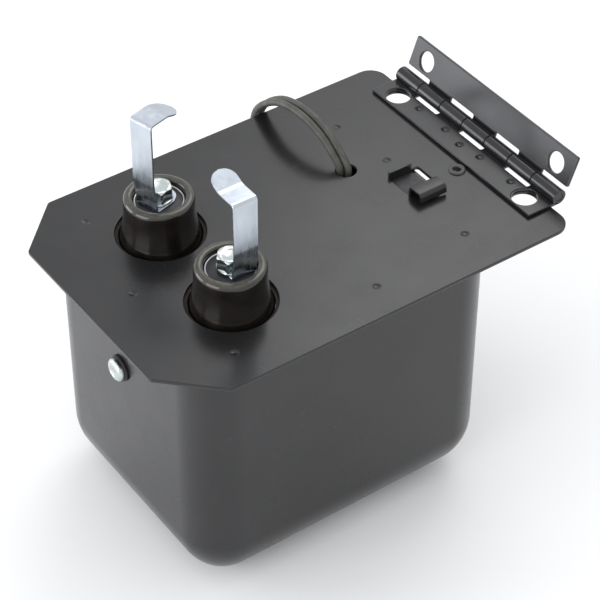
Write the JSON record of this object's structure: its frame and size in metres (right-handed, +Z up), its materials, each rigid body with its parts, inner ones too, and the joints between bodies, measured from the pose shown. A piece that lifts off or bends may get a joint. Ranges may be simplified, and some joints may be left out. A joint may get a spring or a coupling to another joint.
{
  "type": "oil burner ignition transformer",
  "caption": "Ignition transformer in a drawn steel can under a hinged base plate, with porcelain bushings and bent spring contact strips.",
  "frame": {"origin": "centre of the can's flat bottom", "axes": "+Z up, +X from the plate's cut corners to the hinge, +Y to the side where the leads leave the plate"},
  "size_m": [0.1904, 0.2256, 0.1767],
  "materials": {
    "black_paint": "satin black enamel",
    "plain_steel": "bare steel",
    "leaf_black": "satin black finish",
    "porcelain": "dark brown glaze",
    "gasket": "cork and rubber",
    "zinc": "bright zinc plate",
    "brass": "turned brass",
    "black_steel": "black oxide",
    "lamination": "varnished core steel",
    "winding": "taped and varnished winding",
    "bobbin_board": "insulating board",
    "hv_wire": "silicone wire",
    "compound": "filling compound",
    "lead_cover": "black insulation",
    "tinned_wire": "tinned copper"
  },
  "bodies": {
    "transformer": {"can": "black_paint", "can_rim": "plain_steel", "base_plate": "black_paint", "plate_eyelet": "plain_steel", "hinge_fixed_leaf": "leaf_black", "hinge_pin": "plain_steel", "bushing_left": "porcelain", "bushing_right": "porcelain", "bushing_gaskets": "gasket", "bushing_clamps": "plain_steel", "terminal_cups": "plain_steel", "terminal_screw_left": "zinc", "terminal_screw_right": "zinc", "terminal_inserts": "brass", "terminal_nuts": "plain_steel", "can_screw": "zinc", "can_screw_washer": "black_steel", "can_screw_nut": "plain_steel", "ground_strap": "brass", "core_legs": "lamination", "core_yoke": "lamination", "magnetic_shunts": "lamination", "core_bolts": "plain_steel", "core_nuts": "plain_steel", "core_feet": "plain_steel", "primary_coil": "winding", "primary_bobbin": "bobbin_board", "secondary_coils": "winding", "secondary_bobbins": "bobbin_board", "insulation_boards": "bobbin_board", "high_voltage_wires": "hv_wire", "sealing_compound": "compound", "lead_clamp": "plain_steel", "lead_a": "lead_cover", "lead_b": "lead_cover", "lead_end_a": "tinned_wire", "lead_end_b": "tinned_wire"},
    "free_leaf": {"hinge_free_leaf": "leaf_black"},
    "left_contact": {"contact_foot_left": "zinc"},
    "left_blade": {"contact_blade_left": "zinc"},
    "right_contact": {"contact_foot_right": "zinc"},
    "right_blade": {"contact_blade_right": "zinc"}
  },
  "joints": [
    {"name": "hinge_swing", "type": "hinge", "parent": "transformer", "child": "free_leaf", "pos_m": [0.09965, -0.0006, 0.12325], "axis": [0, 1, 0], "range_deg": [-110, 134]},
    {"name": "left_swivel", "type": "hinge", "parent": "transformer", "child": "left_contact", "pos_m": [-0.0345, 0.024, 0.13545], "axis": [0, 0, 1], "range_deg": [-45, 45]},
    {"name": "left_flex", "type": "hinge", "parent": "left_contact", "child": "left_blade", "pos_m": [-0.04068, 0.02234, 0.13745], "axis": [0.2588, -0.9659, 0], "range_deg": [-6, 10], "stiffness_Nm_per_rad": 1},
    {"name": "right_swivel", "type": "hinge", "parent": "transformer", "child": "right_contact", "pos_m": [-0.0345, -0.024, 0.13545], "axis": [0, 0, 1], "range_deg": [-45, 45]},
    {"name": "right_flex", "type": "hinge", "parent": "right_contact", "child": "right_blade", "pos_m": [-0.0327, -0.0304, 0.13745], "axis": [1, 0, 0], "range_deg": [-6, 10], "stiffness_Nm_per_rad": 1}
  ]
}
